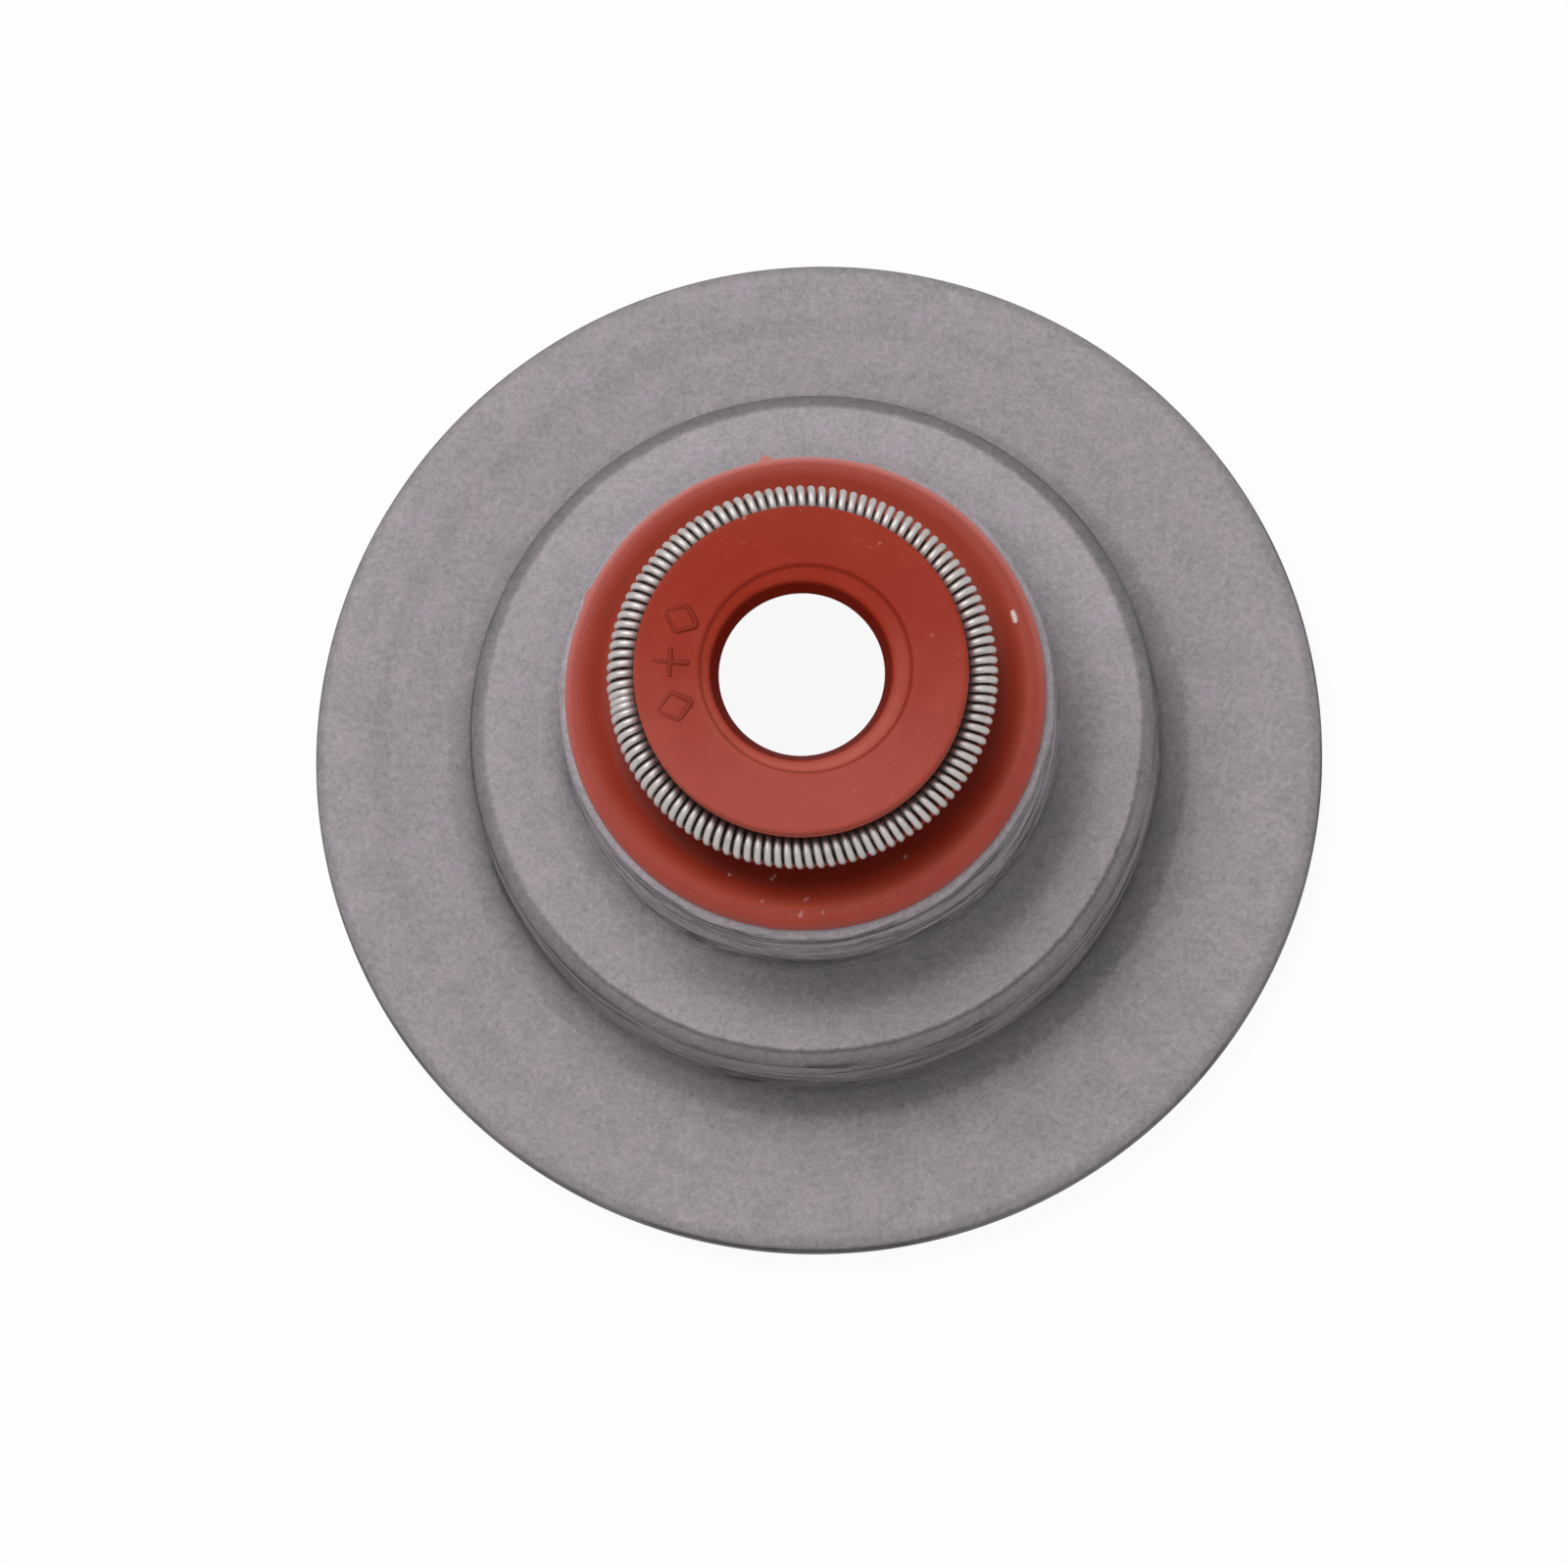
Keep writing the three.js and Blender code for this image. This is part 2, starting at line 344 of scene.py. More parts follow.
def arc(centre, size, start, end, segments):
    turns = [math.radians(start + (end - start) * i / segments) for i in range(segments + 1)]
    return [(centre[0] + size * math.cos(turn), centre[1] + size * math.sin(turn)) for turn in turns]


def stepped(points, across, up):
    """The closed outline, cut so that no stretch goes further than this across or up"""
    result = []
    for start, end in zip(points, points[1:] + points[:1]):
        pieces = math.ceil(max(abs(end[0] - start[0]) / across, abs(end[1] - start[1]) / up))
        for i in range(pieces):
            share = i / pieces
            result.append(tuple(a + (b - a) * share for a, b in zip(start, end)))
    return result


def outline_mesh(name, points):
    mesh = bpy.data.meshes.new(name)
    vertices = [(radius * MM, 0, height * MM) for radius, height in points]
    edges = [(i, (i + 1) % len(points)) for i in range(len(points))]
    mesh.from_pydata(vertices, edges, [])
    return mesh


def neck_bend_inner():
    centre = (NECK_RADIUS + NECK_FOOT_ROUND, SHOULDER_Z + NECK_FOOT_ROUND)
    return arc(centre, NECK_FOOT_ROUND + SHEET, 180, 270, 12)


def neck_top_inside():
    underside = NECK_TOP_Z - NECK_TOP_THICKNESS
    corner = (NECK_RADIUS - SHEET - INSIDE_CORNER_ROUND, underside - INSIDE_CORNER_ROUND)
    return [
        (NECK_MOUTH_RADIUS, NECK_TOP_Z),
        (NECK_MOUTH_RADIUS, underside),
        *arc(corner, INSIDE_CORNER_ROUND, 90, 0, 5),
    ]


def shell_outline():
    band_z = SEAT_Z + BAND_HEIGHT
    band_inner = FLANGE_RADIUS - BAND_WIDTH
    edge = FLANGE_RADIUS - FLANGE_EDGE_ROUND
    neck_foot = (NECK_RADIUS + NECK_FOOT_ROUND, SHOULDER_Z + NECK_FOOT_ROUND)
    step_foot = (STEP_RADIUS + STEP_FOOT_ROUND, SEAT_Z + STEP_FOOT_ROUND)
    step_corner = (STEP_RADIUS - STEP_CORNER_ROUND, SHOULDER_Z - STEP_CORNER_ROUND)
    neck_corner = (NECK_RADIUS - NECK_CORNER_ROUND, NECK_TOP_Z - NECK_CORNER_ROUND)
    inside_corner = (STEP_RADIUS - SHEET - INSIDE_CORNER_ROUND, SHOULDER_Z - SHEET - INSIDE_CORNER_ROUND)
    return [
        *arc((edge, FLANGE_EDGE_ROUND), FLANGE_EDGE_ROUND, 270, 360, 6),
        *arc((edge, band_z - FLANGE_EDGE_ROUND), FLANGE_EDGE_ROUND, 0, 90, 6),
        (band_inner, band_z),
        (band_inner - BAND_SLOPE * 0.25, band_z - BAND_HEIGHT * 0.12),
        (band_inner - BAND_SLOPE * 0.75, SEAT_Z + BAND_HEIGHT * 0.12),
        (band_inner - BAND_SLOPE, SEAT_Z),
        *arc(step_foot, STEP_FOOT_ROUND, 270, 180, 12),
        *arc(step_corner, STEP_CORNER_ROUND, 0, 90, 10),
        *arc(neck_foot, NECK_FOOT_ROUND, 270, 180, 12),
        *arc(neck_corner, NECK_CORNER_ROUND, 0, 90, 6),
        *neck_top_inside(),
        *neck_bend_inner(),
        *arc(inside_corner, INSIDE_CORNER_ROUND, 90, 0, 5),
        *arc(step_foot, STEP_FOOT_ROUND + SHEET, 180, 270, 12),
    ]


def rim_outline():
    rim = NECK_RADIUS - NECK_CORNER_ROUND
    rim_z = NECK_TOP_Z + RIM_HEIGHT
    trough_z = NECK_TOP_Z + TROUGH_THICKNESS
    rim_inner = rim - RIM_WIDTH
    foot = (WAIST_RADIUS + LIP_FOOT_ROUND, trough_z + LIP_FOOT_ROUND)
    return [
        (rim, NECK_TOP_Z),
        *arc((rim - RIM_ROUND, rim_z - RIM_ROUND), RIM_ROUND, 0, 90, 7),
        (rim_inner, rim_z),
        (rim_inner - TROUGH_WALL * 0.2, rim_z - TROUGH_EASE),
        (rim_inner - TROUGH_WALL * 0.8, trough_z + TROUGH_EASE),
        (rim_inner - TROUGH_WALL, trough_z),
        *arc(foot, LIP_FOOT_ROUND, 270, 180, 6),
    ]


def lip_outside_outline():
    groove_size = COIL_RADIUS + GROOVE_CLEARANCE
    opening = math.degrees(math.acos((LIP_TOP_RADIUS - RING_RADIUS) / groove_size))
    groove = arc((RING_RADIUS, SPRING_Z), groove_size, 300, opening, 18)
    bead = (groove[0][0] + BEAD, groove[0][1] - BEAD)
    edge = (LIP_TOP_RADIUS - LIP_EDGE_ROUND, LIP_TOP_Z - LIP_EDGE_ROUND)
    return [
        (WAIST_RADIUS, bead[1] - (bead[0] - WAIST_RADIUS)),
        (bead[0], bead[1] - 2 * BEAD),
        bead,
        *groove,
        *arc(edge, LIP_EDGE_ROUND, 0, 90, 4),
    ]


def lip_face_z(radius):
    slope = LIP_FACE_DROP / (LIP_TOP_RADIUS - MOULD_LINE_RADIUS)
    return LIP_TOP_Z - (LIP_TOP_RADIUS - radius) * slope


def bore_outline():
    mould_line_z = lip_face_z(MOULD_LINE_RADIUS)
    mouth_z = mould_line_z - BORE_MOUTH_DROP
    sealing_z = mouth_z - SEALING_EDGE_DROP
    stop_z = NECK_TOP_Z - NECK_TOP_THICKNESS - GUIDE_STOP
    ease = 0.05
    return [
        (MOULD_LINE_RADIUS, mould_line_z),
        (MOULD_LINE_RADIUS - MOULD_LINE_STEP * 0.3, mould_line_z - MOULD_LINE_STEP),
        (BORE_MOUTH_RADIUS + ease, mouth_z + ease * 0.8),
        (BORE_MOUTH_RADIUS, mouth_z),
        (SEALING_EDGE_RADIUS + ease * 0.4, sealing_z + ease),
        (SEALING_EDGE_RADIUS, sealing_z),
        (SEALING_EDGE_RADIUS + ease * 0.6, sealing_z - ease),
        (STEM_ROOM_RADIUS, sealing_z - STEM_ROOM_CONE),
        (STEM_ROOM_RADIUS, stop_z + STEM_ROOM_CHAMFER),
        (STEM_ROOM_RADIUS + STEM_ROOM_CHAMFER, stop_z),
    ]


def socket_outline(bottom_z):
    wall = GUIDE_RADIUS + RELIEF
    rib = GUIDE_RADIUS - RIB_GRIP
    top_z = NECK_TOP_Z - NECK_TOP_THICKNESS - GUIDE_STOP
    middle_z = (top_z + bottom_z + SOCKET_CHAMFER) / 2
    points = [(wall, top_z)]
    for i in range(RIBS):
        rib_z = middle_z + ((RIBS - 1) / 2 - i) * RIB_SPACING
        points += [
            (wall, rib_z + RIB_HEIGHT / 2),
            (rib, rib_z + RIB_LAND / 2),
            (rib, rib_z - RIB_LAND / 2),
            (wall, rib_z - RIB_HEIGHT / 2),
        ]
    return points + [(wall, bottom_z + SOCKET_CHAMFER), (wall + SOCKET_CHAMFER, bottom_z)]


def rubber_outline():
    bond = neck_bend_inner()[:7][::-1]
    return [
        *rim_outline(),
        *lip_outside_outline(),
        *bore_outline(),
        *socket_outline(bond[0][1]),
        *bond,
        *neck_top_inside()[::-1],
    ]


# Shapes

def turned(shape):
    """The outline turned round the axis, as a closed skin"""
    outline = shape.input("Outline")
    points = shape.add("GeometryNodeAttributeDomainSize", {"component": "MESH"}, {"Geometry": outline})
    row = points + 1
    segments = shape.input("Segments")
    grid = shape.add("GeometryNodeMeshGrid", {}, {"Vertices X": segments + 1, "Vertices Y": row})
    index = shape.index()
    turns_done = index / row
    station = turns_done.math("FLOOR", turns_done)
    along = (index - station * row) % points
    # Added so that a number just under a whole one isn't cut down to the point before
    margin = 0.25
    place = shape.add("GeometryNodeSampleIndex", {"data_type": "FLOAT_VECTOR", "domain": "POINT"}, {
        "Geometry": outline, "Value": shape.add("GeometryNodeInputPosition"), "Index": along + margin})
    radius, _, height = shape.separate(place)
    turn = station / segments * (2 * math.pi)
    on_circle = shape.combine(radius * shape.cosine(turn), radius * shape.sine(turn), height)
    skin = shape.add("GeometryNodeSetPosition", {}, {"Geometry": grid, "Position": on_circle})
    return shape.add("GeometryNodeMergeByDistance", {}, {"Geometry": skin, "Distance": MERGE_DISTANCE * MM})


def place_in_mm(shape):
    return shape.scaled(shape.add("GeometryNodeInputPosition"), 1 / MM)


def make_shell(finish):
    """The pressing, with the ridges that drawing left round its walls"""
    shape = Shape("Drawn shell", {
        "Segments": TURN_SEGMENTS, "Draw Mark Depth": 0.035 * MM, "Draw Mark Pitch": 0.42,
        "Seed": 3.0, "Finish": finish})
    skin = turned(shape)
    x, y, z = shape.separate(place_in_mm(shape))
    radius = (x * x + y * y) ** 0.5
    slow = 1.6
    fine = 1 / shape.input("Draw Mark Pitch")
    pattern = shape.combine(x / radius * slow + shape.input("Seed"), y / radius * slow, z * fine)
    marks = shape.noise(pattern, 1.0, detail=3.0, roughness=0.6, distortion=0.35) - 0.5
    normal = shape.add("GeometryNodeInputNormal")
    _, _, up = shape.separate(normal)
    wall = shape.rise(1 - abs(up), 0.35, 0.9)
    inside_edge = shape.rise(FLANGE_RADIUS - radius, 0.5, 1.5)
    depth = marks * wall * inside_edge * shape.input("Draw Mark Depth") * 2
    offset = shape.scaled(normal, depth)
    shape.finish(shape.add("GeometryNodeSetPosition", {}, {"Geometry": skin, "Offset": offset}))
    outline = stepped(shell_outline(), across=0.5, up=0.1)
    return shape.make("steel_shell_skin", outline_mesh("shell outline", outline))


def make_rubber(finish):
    """The moulding, with its nibs of flash and its mould line a little off centre"""
    shape = Shape("Moulded seal", {"Segments": TURN_SEGMENTS, "Nib Scale": 1.0, "Finish": finish})
    skin = turned(shape)
    place = place_in_mm(shape)
    x, y, z = shape.separate(place)
    radius = (x * x + y * y) ** 0.5
    outward = shape.combine(x / radius, y / radius, 0.0)
    swell = 0.0
    rim = NECK_RADIUS - NECK_CORNER_ROUND
    for angle, height, half_width in FLASH_NIBS:
        turn = math.radians(angle)
        tip = (rim * math.cos(turn), rim * math.sin(turn), NECK_TOP_Z + RIM_HEIGHT * 0.45)
        swell = shape.near(shape.distance(place, tip), half_width * 1.6) * height + swell
    nibs = shape.scaled(outward, swell * shape.input("Nib Scale") * MM)
    on_face = shape.rise(z, LIP_TOP_Z - 0.9, LIP_TOP_Z - 0.5)
    off_centre = shape.near(abs(radius - MOULD_LINE_RADIUS), 0.45) * on_face
    shift = shape.scaled(tuple(value * MM for value in MOULD_LINE_SHIFT) + (0.0,), off_centre)
    offset = shape.vector_math("ADD", nibs, shift)
    shape.finish(shape.add("GeometryNodeSetPosition", {}, {"Geometry": skin, "Offset": offset}))
    outline = stepped(rubber_outline(), across=0.12, up=0.12)
    return shape.make("rubber_seal_moulding", outline_mesh("rubber outline", outline))


def make_spring(finish):
    """A coil of wire wound round a ring, with its coils drawn together where the ends are joined"""
    shape = Shape("Garter spring", {
        "Coils": COILS, "Steps per Coil": 20, "Wire Sides": 8, "Ring Radius": RING_RADIUS * MM,
        "Coil Radius": (COIL_RADIUS - WIRE_RADIUS) * MM, "Wire Radius": WIRE_RADIUS * MM,
        "Height": SPRING_Z * MM, "Finish": finish})
    coils = shape.input("Coils")
    steps = coils * shape.input("Steps per Coil")
    ring = shape.add("GeometryNodeCurvePrimitiveCircle", {"mode": "RADIUS"}, {
        "Resolution": steps, "Radius": 1.0})
    turn = shape.index() / steps * (2 * math.pi)
    joint_start = math.radians(SPRING_JOINT_ANGLE - SPRING_JOINT_SPAN / 2)
    joint_end = math.radians(SPRING_JOINT_ANGLE + SPRING_JOINT_SPAN / 2)
    extra_coil = shape.rise(turn, joint_start, joint_end)
    uneven = shape.sine(turn * 5 + 0.7) * 0.5 + shape.sine(turn * 11) * 0.25
    winding = turn * (coils - 1) + extra_coil * (2 * math.pi) + uneven
    joint_middle = math.radians(SPRING_JOINT_ANGLE)
    at_joint = shape.near(abs(turn - joint_middle), joint_end - joint_middle)
    winding_radius = shape.input("Coil Radius") * (1 - at_joint * 0.1)
    radius = shape.input("Ring Radius") - winding_radius * shape.cosine(winding)
    height = shape.input("Height") + winding_radius * shape.sine(winding)
    path = shape.combine(radius * shape.cosine(turn), radius * shape.sine(turn), height)
    wound = shape.add("GeometryNodeSetPosition", {}, {"Geometry": ring, "Position": path})
    section = shape.add("GeometryNodeCurvePrimitiveCircle", {"mode": "RADIUS"}, {
        "Resolution": shape.input("Wire Sides"), "Radius": shape.input("Wire Radius")})
    shape.finish(shape.add("GeometryNodeCurveToMesh", {}, {"Curve": wound, "Profile Curve": section}))
    return shape.make("garter_spring_wire", bpy.data.meshes.new("empty outline"))


def mark_paths():
    """Closed diamonds either side of a cross, as lines in the plane of each mark"""
    long = (MARK_LENGTH - MARK_STROKE) / 2
    wide = (MARK_BREADTH - MARK_STROKE) / 2
    corners = [(long, 0), (0, wide), (-long, 0), (0, -wide)]
    diamond = list(zip(corners, corners[1:] + corners[:1]))
    cross = [((-long, 0), (long, 0)), ((0, -wide), (0, wide))]
    return [diamond, cross, diamond]


def make_marks(finish):
    """Ridges that stand up from the lip's face"""
    shape = Shape("Raised marks", {
        "Stroke Radius": MARK_STROKE / 2 * MM, "Corner Radius": MARK_CORNER * MM, "Finish": finish})
    joined = shape.add("GeometryNodeMergeByDistance", {}, {
        "Geometry": shape.input("Outline"), "Distance": MERGE_DISTANCE * MM})
    lines = shape.add("GeometryNodeMeshToCurve", {}, {"Mesh": joined})
    rounded = shape.add("GeometryNodeFilletCurve", {"mode": "POLY"}, {
        "Curve": lines, "Radius": shape.input("Corner Radius"), "Count": 5, "Limit Radius": True})
    section = shape.add("GeometryNodeCurvePrimitiveCircle", {"mode": "RADIUS"}, {
        "Resolution": 12, "Radius": shape.input("Stroke Radius")})
    shape.finish(shape.add("GeometryNodeCurveToMesh", {}, {
        "Curve": rounded, "Profile Curve": section, "Fill Caps": True}))
    vertices = []
    edges = []
    middle_z = lip_face_z(MARK_RING_RADIUS) + MARK_RELIEF - MARK_STROKE / 2
    for i, path in enumerate(mark_paths()):
        turn = Matrix.Rotation(math.radians(MARK_MIDDLE_ANGLE + (i - 1) * MARK_SPACING_ANGLE), 3, "Z")
        for line in path:
            edges.append((len(vertices), len(vertices) + 1))
            for along, across in line:
                place = turn @ Vector((MARK_RING_RADIUS + along, across, middle_z))
                vertices.append(place * MM)
    mesh = bpy.data.meshes.new("mark lines")
    mesh.from_pydata(vertices, edges, [])
    return shape.make("lip_face_marks", mesh)


# Finishes

def steel_finish():
    """Mild steel, tumbled matt grey, with painted shade at its bends and painted shadows to one side, and
    streaks that drawing left
    """
    steel = Finish("tumbled grey steel")
    near, rise, fall = steel.near, steel.rise, steel.fall
    radius = steel.radius()
    z = steel.z
    _, _, up = steel.separate(steel.facing)
    grain = steel.noise(steel.place, 4.5, detail=4.0, roughness=0.85) - 0.5
    specks = steel.noise(steel.place, 15.0, detail=2.0, roughness=0.8) - 0.5
    clouds = steel.noise(steel.place, 0.9, detail=3.0, roughness=0.65) - 0.5
    tint = steel.noise(steel.place, 0.9, detail=2.0, roughness=0.5)
    ragged = steel.noise(steel.place, 3.0, detail=4.0, roughness=0.7) - 0.5
    smears = steel.noise(steel.place, 1.3, detail=4.0, roughness=0.6, distortion=0.8)
    streaks = steel.noise(steel.round_place(1.0, 1.7), 1.0, detail=5.0, roughness=0.7, distortion=0.9)
    scuffs = steel.noise(steel.round_place(2.6, 3.1), 1.0, detail=4.0, roughness=0.7, distortion=0.4)

    # Where a point lies on the pressing
    wall = rise(1 - abs(up), 0.3, 0.8)
    outside = rise(up, -0.3, -0.1)
    near_side = rise(steel.towards(-73.3) / radius, 0.096, 0.766)
    far_side = rise(steel.towards(90) / radius, 0.0, 0.7)
    # The lower right side, where the painted shadows fall
    shadow_side = rise(steel.towards(-55.2) / radius, 0.25, 0.95)
    on_shoulder = rise(z, SHOULDER_Z - 0.35, SHOULDER_Z - 0.05) * rise(radius, 9.0, 10.2)
    # A painted highlight along the neck's rounded top
    top_band = rise(z, NECK_TOP_Z - 0.4, NECK_TOP_Z - 0.2) * outside
    neck_wall = wall * outside * fall(radius, NECK_RADIUS + 0.1, NECK_RADIUS + 0.4)
    # Painted shade on the flange's rounded outer edge
    edge_side = rise(radius, FLANGE_RADIUS - 0.3, FLANGE_RADIUS - 0.1) * wall

    # Painted shade: dark bands at the bends and in the feet of the walls, and painted shadows cast towards
    # the lower right, with ragged borders; also a darker band on the neck's wall below its top
    # Painted shade on the step's rounded corner, deeper on the far side
    corner = rise(radius + ragged * 0.2, STEP_RADIUS - STEP_CORNER_ROUND - 0.06, STEP_RADIUS - 0.4)
    corner = corner * fall(radius, STEP_RADIUS, STEP_RADIUS + 0.1)
    corner = corner * rise(z, SHOULDER_Z - 0.6, SHOULDER_Z - 0.5)
    # Painted shade: a dark line along the step's corner on the near side
    corner_line = near(abs(radius + ragged * 0.12 - (STEP_RADIUS - 0.46)), 0.13)
    corner_line = corner_line * rise(z, SHOULDER_Z - 0.3, SHOULDER_Z - 0.2) * near_side
    # Painted shade in the fillet at the step's foot
    step_foot = near(abs(z + ragged * 0.5 - (SEAT_Z + STEP_FOOT_ROUND * 0.75)), 0.75)
    step_foot = step_foot * rise(radius, STEP_RADIUS - 0.1, STEP_RADIUS)
    # Painted shade on the seat next to the step's foot
    round_step = fall(radius + ragged * 0.5, STEP_RADIUS + 0.85, STEP_RADIUS + 1.1)
    round_step = round_step * fall(z, SEAT_Z + 0.6, SEAT_Z + 0.8)
    # Painted shade in the fillet at the neck's foot
    neck_foot = near(abs(z + ragged * 0.6 - (SHOULDER_Z + NECK_FOOT_ROUND * 0.75)), 0.8)
    neck_foot = neck_foot * fall(radius, NECK_RADIUS + 0.7, NECK_RADIUS + 0.9)
    under_rim = near(abs(z + ragged * 0.2 - (NECK_TOP_Z - 0.75)), 0.32) * wall
    # Painted shadows cast by the neck and the step onto the flats on the lower right side
    neck_painted_shadow = near(abs(z - SHOULDER_Z), 2.0) * shadow_side
    neck_painted_shadow = neck_painted_shadow * fall(radius + ragged * 0.8, NECK_RADIUS + 0.5, NECK_RADIUS + 1.7)
    step_painted_shadow = near(abs(z - SEAT_Z), 2.0) * shadow_side
    step_painted_shadow = step_painted_shadow * fall(radius + ragged * 0.8, STEP_RADIUS + 0.4, STEP_RADIUS + 1.3)

    # Streaks and scuffs on the walls, smears on the flats
    dark_streak = rise(streaks, 0.48, 0.58) * wall
    pale_streak = fall(streaks, 0.32, 0.42) * wall
    dark_scuff = rise(scuffs, 0.53, 0.6) * wall
    smear = rise(smears, 0.55, 0.72) * (1 - wall)

    shade = 1 + grain * 1.25 + specks * 0.55 + clouds * 0.36 + smear * 0.08
    # A painted highlight on the shoulder's outer ring, stronger on the far side
    shade = shade * (0.97 + on_shoulder * (0.06 + far_side * 0.07))
    # Painted shade, painted shadows and painted highlights, the darker band below the neck's top, a lighter
    # neck wall, and real streaks and scuffs
    changes = [
        (corner, far_side * -0.12 - 0.33), (corner_line, -0.42), (step_foot, -0.1), (round_step, -0.15),
        (neck_foot, -0.06), (under_rim, -0.5), (edge_side, -0.5), (neck_painted_shadow, -0.45), (step_painted_shadow, -0.42),
        (top_band, 0.18), (neck_wall, 0.2), (dark_streak, -0.5), (pale_streak, 0.25), (dark_scuff, -0.4),
    ]
    for mask, change in changes:
        shade = shade * (1 + mask * change)
    grey = steel.mix(rise(tint, 0.35, 0.65), colour(147, 142, 145), colour(148, 141, 146))
    grey = steel.mix(1.0, grey, shade, "MULTIPLY")
    roughness = 0.68 + grain * 0.15 + dark_streak * 0.1
    height = grain * 0.6 + specks * 0.4 + streaks * wall * 1.5
    return steel.surface(height, 0.02, Base_Color=grey, Roughness=roughness, Metallic=0.75)


def rubber_finish(name, strength):
    """Rust-red moulded rubber with a satin skin, a pale bloom, a little dust and lint, and painted sheen,
    light and shade
    """
    rubber = Finish(name)
    near, rise, fall = rubber.near, rubber.rise, rubber.fall
    radius = rubber.radius()
    z = rubber.z
    flat_place = rubber.combine(rubber.x, rubber.y, 0.0)
    clouds = rubber.noise(rubber.place, 0.8, detail=3.0, roughness=0.5)
    grain = rubber.noise(rubber.place, 12.0, detail=3.0, roughness=0.7)
    flow = rubber.noise(rubber.round_place(3.0, 1.2), 1.0, detail=3.0, roughness=0.5)
    dust = rise(rubber.noise(rubber.place, 5.0, detail=2.0, roughness=0.6), 0.7, 0.8)

    # Where a point lies on the moulding
    low_side = rise(rubber.towards(267) * 0.98 + clouds * 2, -1.6, 5.5)
    high_side = rise(rubber.towards(99.6), -5.92, 7.89)
    above = rise(z, NECK_TOP_Z, NECK_TOP_Z + 0.1)
    on_face = rise(z, LIP_TOP_Z - 0.4, LIP_TOP_Z - 0.3)
    on_rim = rise(radius + grain * 0.1, NECK_RADIUS - 0.8, NECK_RADIUS - 0.65)
    on_rim = on_rim * rise(z, NECK_TOP_Z, NECK_TOP_Z + 0.2)
    rim_edge = rise(radius, NECK_RADIUS - 0.6, NECK_RADIUS - 0.35)
    in_trough = above * (1 - on_rim) * fall(z, NECK_TOP_Z + 0.8, NECK_TOP_Z + 1.0)
    inner_trough = in_trough * fall(radius, RING_RADIUS + 0.55, RING_RADIUS + 1.1)
    outer_trough = rise(radius, RING_RADIUS + 0.75, RING_RADIUS + 1.5)
    lip_side = near(abs(radius - LIP_TOP_RADIUS), 0.12) * (1 - on_face)
    lip_side = lip_side * rise(z, SPRING_Z + 0.4, SPRING_Z + 0.55)
    above_bore = near(abs(radius - (MOULD_LINE_RADIUS + 0.5)), 0.9) * on_face * (1 - low_side)
    funnel = near(abs(radius - (MOULD_LINE_RADIUS - 0.2)), 0.3) * on_face
    in_bore = fall(radius, BORE_MOUTH_RADIUS - 0.08, BORE_MOUTH_RADIUS + 0.02)
    line_radius = rubber.distance(flat_place, (*MOULD_LINE_SHIFT, 0.0))
    mould_line = near(abs(line_radius - (MOULD_LINE_RADIUS - 0.03)), 0.1) * on_face
    lint = 0.0
    for x, y, reach, paleness in LINT:
        fibre = near(rubber.distance(flat_place, (x, y, 0.0)), reach) * paleness
        lint = fibre.math("MAXIMUM", fibre, lint)

    # A pale bloom on the rim, with a painted sheen along its outer edge on the high side
    rim_bloom_and_sheen = on_rim * (0.08 + grain * 0.2 + high_side * (0.05 + rim_edge * 0.65))
    # Painted light in the trough on the high side and by its outer wall on the low side
    trough_painted_light = in_trough * (high_side * 0.4 + outer_trough * (1 - high_side) * 0.45)
    red = rubber.mix(rise(clouds, 0.35, 0.65), colour(146, 40, 15), colour(151, 46, 24))
    layers = [
        (rise(flow, 0.55, 0.75) * 0.3, colour(132, 34, 14)),
        # Painted shade on the face's high side, and a painted sheen on its low side
        (on_face * (1 - low_side) * 0.3, colour(136, 28, 6)),
        (on_face * low_side * 0.38, colour(176, 92, 84)),
        (rim_bloom_and_sheen, colour(188, 116, 110)),
        # Painted shade in the trough under the spring, on the low side
        (inner_trough * (1 - high_side) * 0.75, colour(84, 14, 6)),
        (trough_painted_light, colour(190, 96, 80)),
        # A painted highlight on the lip's outer edge
        (lip_side * 0.7, colour(200, 104, 90)),
        # Painted shade on the face's high side, around the mould line
        (above_bore * 0.3, colour(140, 30, 2)),
        # Painted light on the funnel's low side
        (funnel * low_side * 0.25, colour(206, 120, 96)),
        # Painted shade on the bore's wall
        (in_bore * 0.8, colour(96, 14, 4)),
        # Painted shade along the mould line's step
        (mould_line * 0.5, colour(110, 26, 10)),
        (dust * 0.35, colour(196, 130, 116)),
        (lint * above, colour(240, 226, 220)),
    ]
    for cover, tone in layers:
        red = rubber.mix(cover, red, tone)
    red = rubber.mix(1.0, red, (strength, strength, strength, 1.0), "MULTIPLY")
    roughness = 0.4 + clouds * 0.06 + grain * 0.06
    height = grain * 0.5 + flow * 0.5
    return rubber.surface(height, 0.01, Base_Color=red, Roughness=roughness, Specular_IOR_Level=0.14)


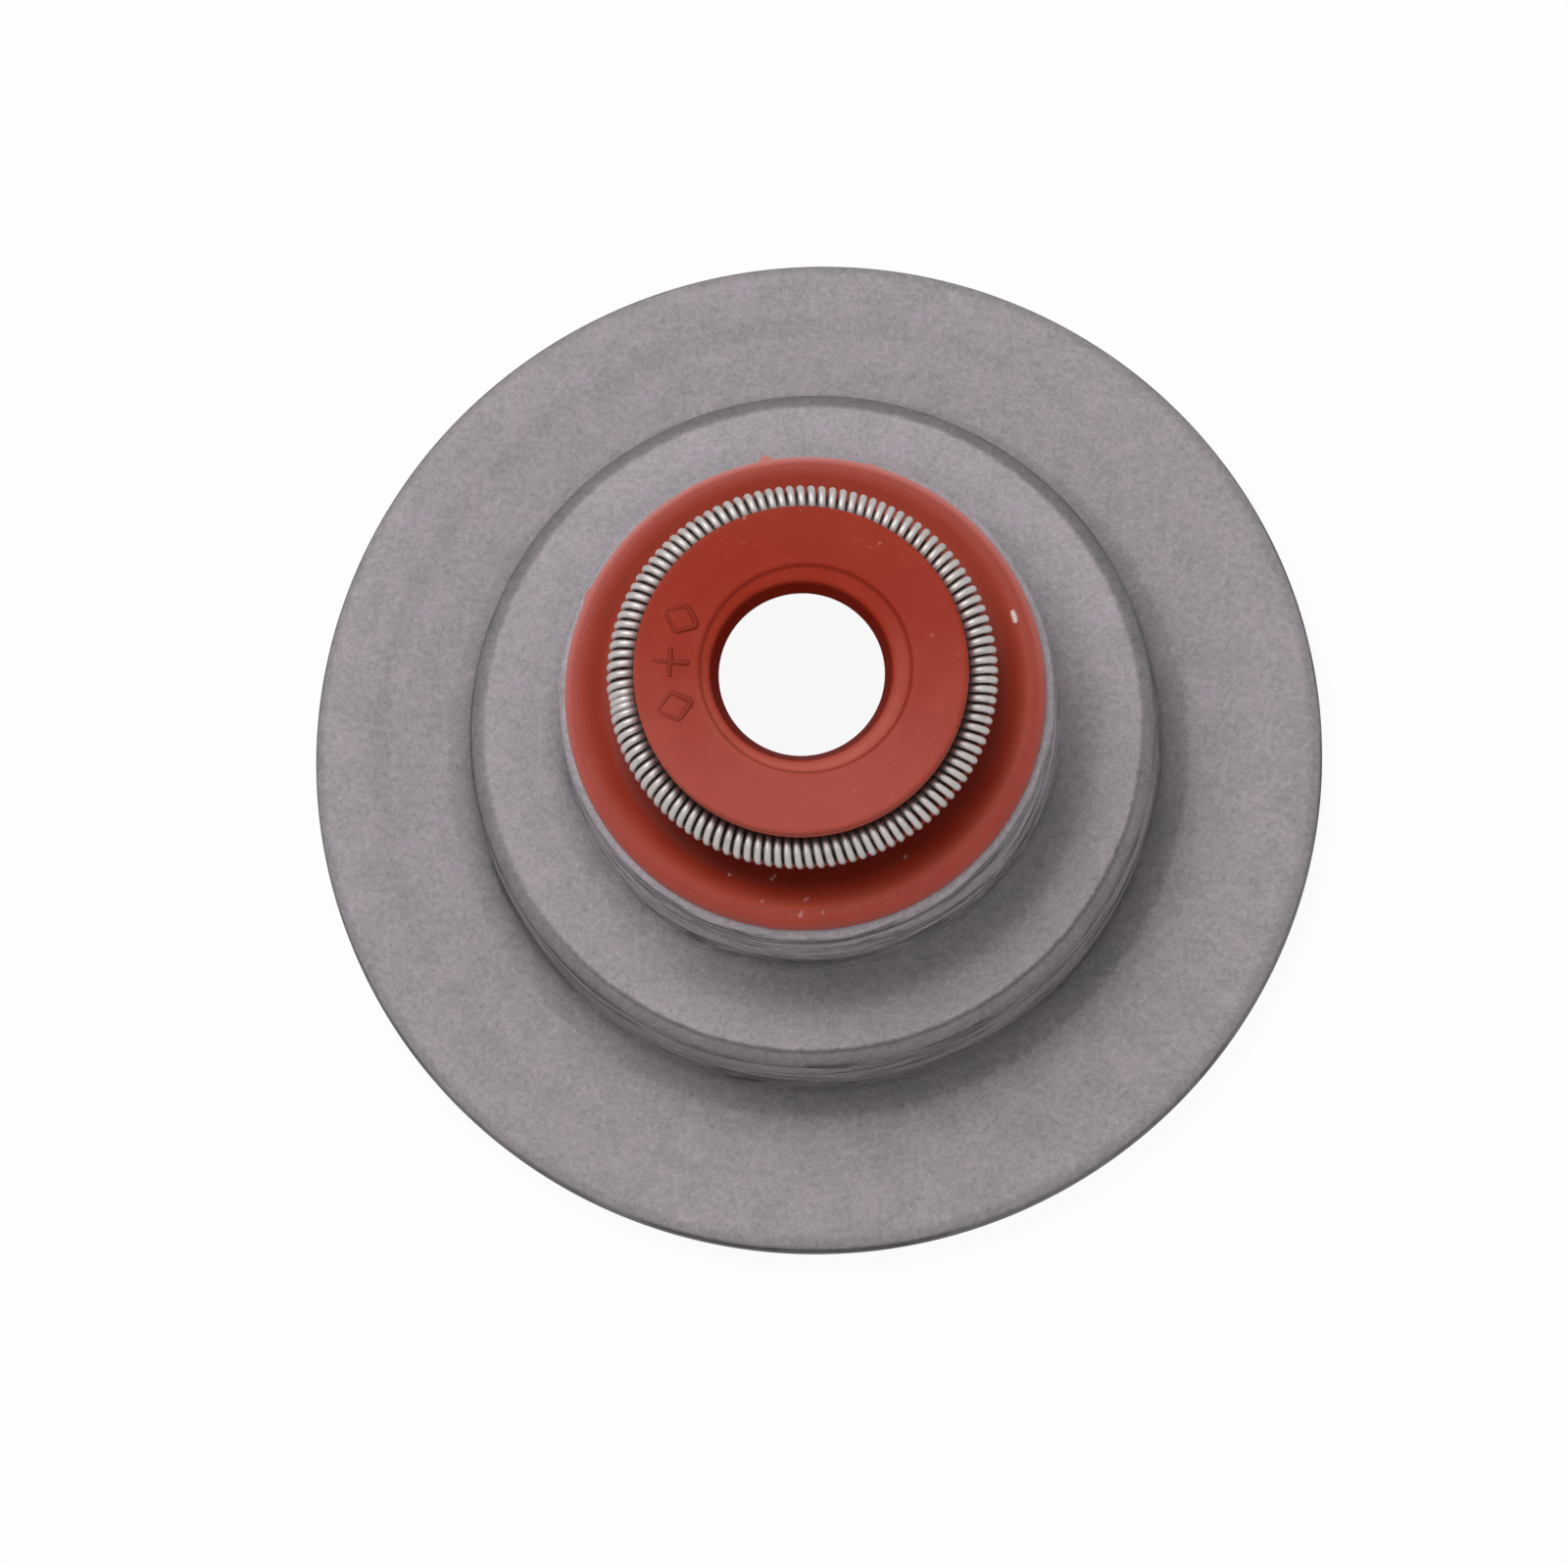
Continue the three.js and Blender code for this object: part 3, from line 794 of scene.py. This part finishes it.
def spring_finish():
    """Bright drawn steel wire with fine scratches and stains, and painted shade on the coils' inner
    shoulders on the near side
    """
    wire = Finish("bright spring wire")
    scratches = wire.noise(wire.place, 16.0, detail=3.0, roughness=0.7)
    stain = wire.noise(wire.place, 2.2, detail=2.0)
    near_side = wire.rise(wire.towards(-78.7), -1.47, 4.41)
    from_shoulder = wire.radius() + (scratches - 0.5) * 0.25 - (RING_RADIUS - 0.22)
    shoulder = wire.near(abs(from_shoulder), 0.34)
    bright = wire.mix(scratches, colour(164, 158, 156), colour(204, 199, 196))
    bright = wire.mix(wire.rise(stain, 0.55, 0.75) * 0.4, bright, colour(150, 142, 140))
    # Painted shade on the coils' inner shoulders, on the near side
    bright = wire.mix(shoulder * near_side * 0.8, bright, colour(92, 84, 82))
    return wire.surface(scratches, 0.006, Base_Color=bright, Roughness=0.38 + scratches * 0.2, Metallic=1.0)


# Stage, light and camera

def seen_as_background(nodes):
    """1 for rays that should meet a white background, from the camera or by way of metal or glass"""
    ray = nodes.add("ShaderNodeLightPath", output="Is Camera Ray")
    glossy = ray.math("MAXIMUM", ray, ray.other("Is Glossy Ray"))
    return ray.math("MAXIMUM", glossy, ray.other("Is Transmission Ray"))


def make_floor():
    half = 3.0
    mesh = bpy.data.meshes.new("floor")
    corners = [(-half, -half, 0), (half, -half, 0), (half, half, 0), (-half, half, 0)]
    mesh.from_pydata(corners, [], [(0, 1, 2, 3)])
    floor = bpy.data.objects.new("floor", mesh)
    bpy.context.scene.collection.objects.link(floor)
    paper = Finish("white paper")
    tone = 0.85
    matt = paper.add("ShaderNodeBsdfDiffuse", {}, {"Color": (tone, tone, tone, 1)})
    white = paper.add("ShaderNodeEmission", {}, {"Color": (1, 1, 1, 1), "Strength": 1.0})
    kept_shadow = 0.07
    share = seen_as_background(paper) * (1 - kept_shadow)
    shown = paper.add("ShaderNodeMixShader", {}, {0: share, 1: matt, 2: white})
    paper.add("ShaderNodeOutputMaterial", {}, {"Surface": shown})
    mesh.materials.append(paper.material)


def make_world():
    world = bpy.data.worlds.new("studio")
    bpy.context.scene.world = world
    world.use_nodes = True
    world.node_tree.nodes.clear()
    nodes = Nodes(world.node_tree)
    soft_light = 0.65
    light = nodes.add("ShaderNodeBackground", {}, {"Color": (1, 1, 1, 1), "Strength": soft_light})
    white = nodes.add("ShaderNodeBackground", {}, {"Color": (1, 1, 1, 1), "Strength": 1.0})
    shown = nodes.add("ShaderNodeMixShader", {}, {0: seen_as_background(nodes), 1: light, 2: white})
    nodes.add("ShaderNodeOutputWorld", {}, {"Surface": shown})


def make_lamp(name, azimuth, elevation, distance, size, power):
    """A square soft light, aimed at the object"""
    data = bpy.data.lights.new(name, "AREA")
    data.size = size
    data.energy = power
    lamp = bpy.data.objects.new(name, data)
    turn, lift = math.radians(azimuth), math.radians(elevation)
    away = Vector((math.cos(turn) * math.cos(lift), math.sin(turn) * math.cos(lift), math.sin(lift)))
    lamp.location = away * distance
    lamp.rotation_euler = away.to_track_quat("Z", "Y").to_euler()
    bpy.context.scene.collection.objects.link(lamp)


def make_camera():
    """A long lens, nearly straight above, leaning towards the near right"""
    lean = math.radians(12.05)
    lean_turn = math.radians(12)
    distance = 450
    frame_width = 52.9
    sensor = 36
    flange_centre = Vector((0, 0, SEAT_Z))
    centre_right_of_middle = 1.14
    centre_above_middle = 0.95
    sideways = Vector((math.sin(lean_turn), -math.cos(lean_turn), 0))
    back = sideways * math.sin(lean) + Vector((0, 0, math.cos(lean)))
    right = Vector((0, 1, 0)).cross(back).normalized()
    up = back.cross(right)
    target = flange_centre - right * centre_right_of_middle - up * centre_above_middle
    data = bpy.data.cameras.new("camera")
    data.sensor_width = sensor
    data.sensor_fit = "HORIZONTAL"
    data.lens = sensor * distance / frame_width
    data.clip_start = 0.01
    camera = bpy.data.objects.new("camera", data)
    turned_axes = Matrix((right, up, back)).transposed().to_4x4()
    camera.matrix_world = Matrix.Translation((target + back * distance) * MM) @ turned_axes
    bpy.context.scene.collection.objects.link(camera)
    bpy.context.scene.camera = camera


def dress(piece, node):
    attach(piece, "root")
    if node:
        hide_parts(node)


steel = steel_finish()
rubber = rubber_finish("rust-red rubber", 1.0)
raised_rubber = rubber_finish("raised rubber", 0.78)
dress(make_shell(steel), "steel_shell")
dress(make_rubber(rubber), "rubber_seal")
dress(make_marks(raised_rubber), None)
dress(make_spring(spring_finish()), "garter_spring")

make_floor()
make_world()
make_lamp("key", azimuth=128, elevation=64, distance=0.6, size=0.3, power=1.6)
make_camera()
bpy.context.scene.view_settings.view_transform = "Standard"
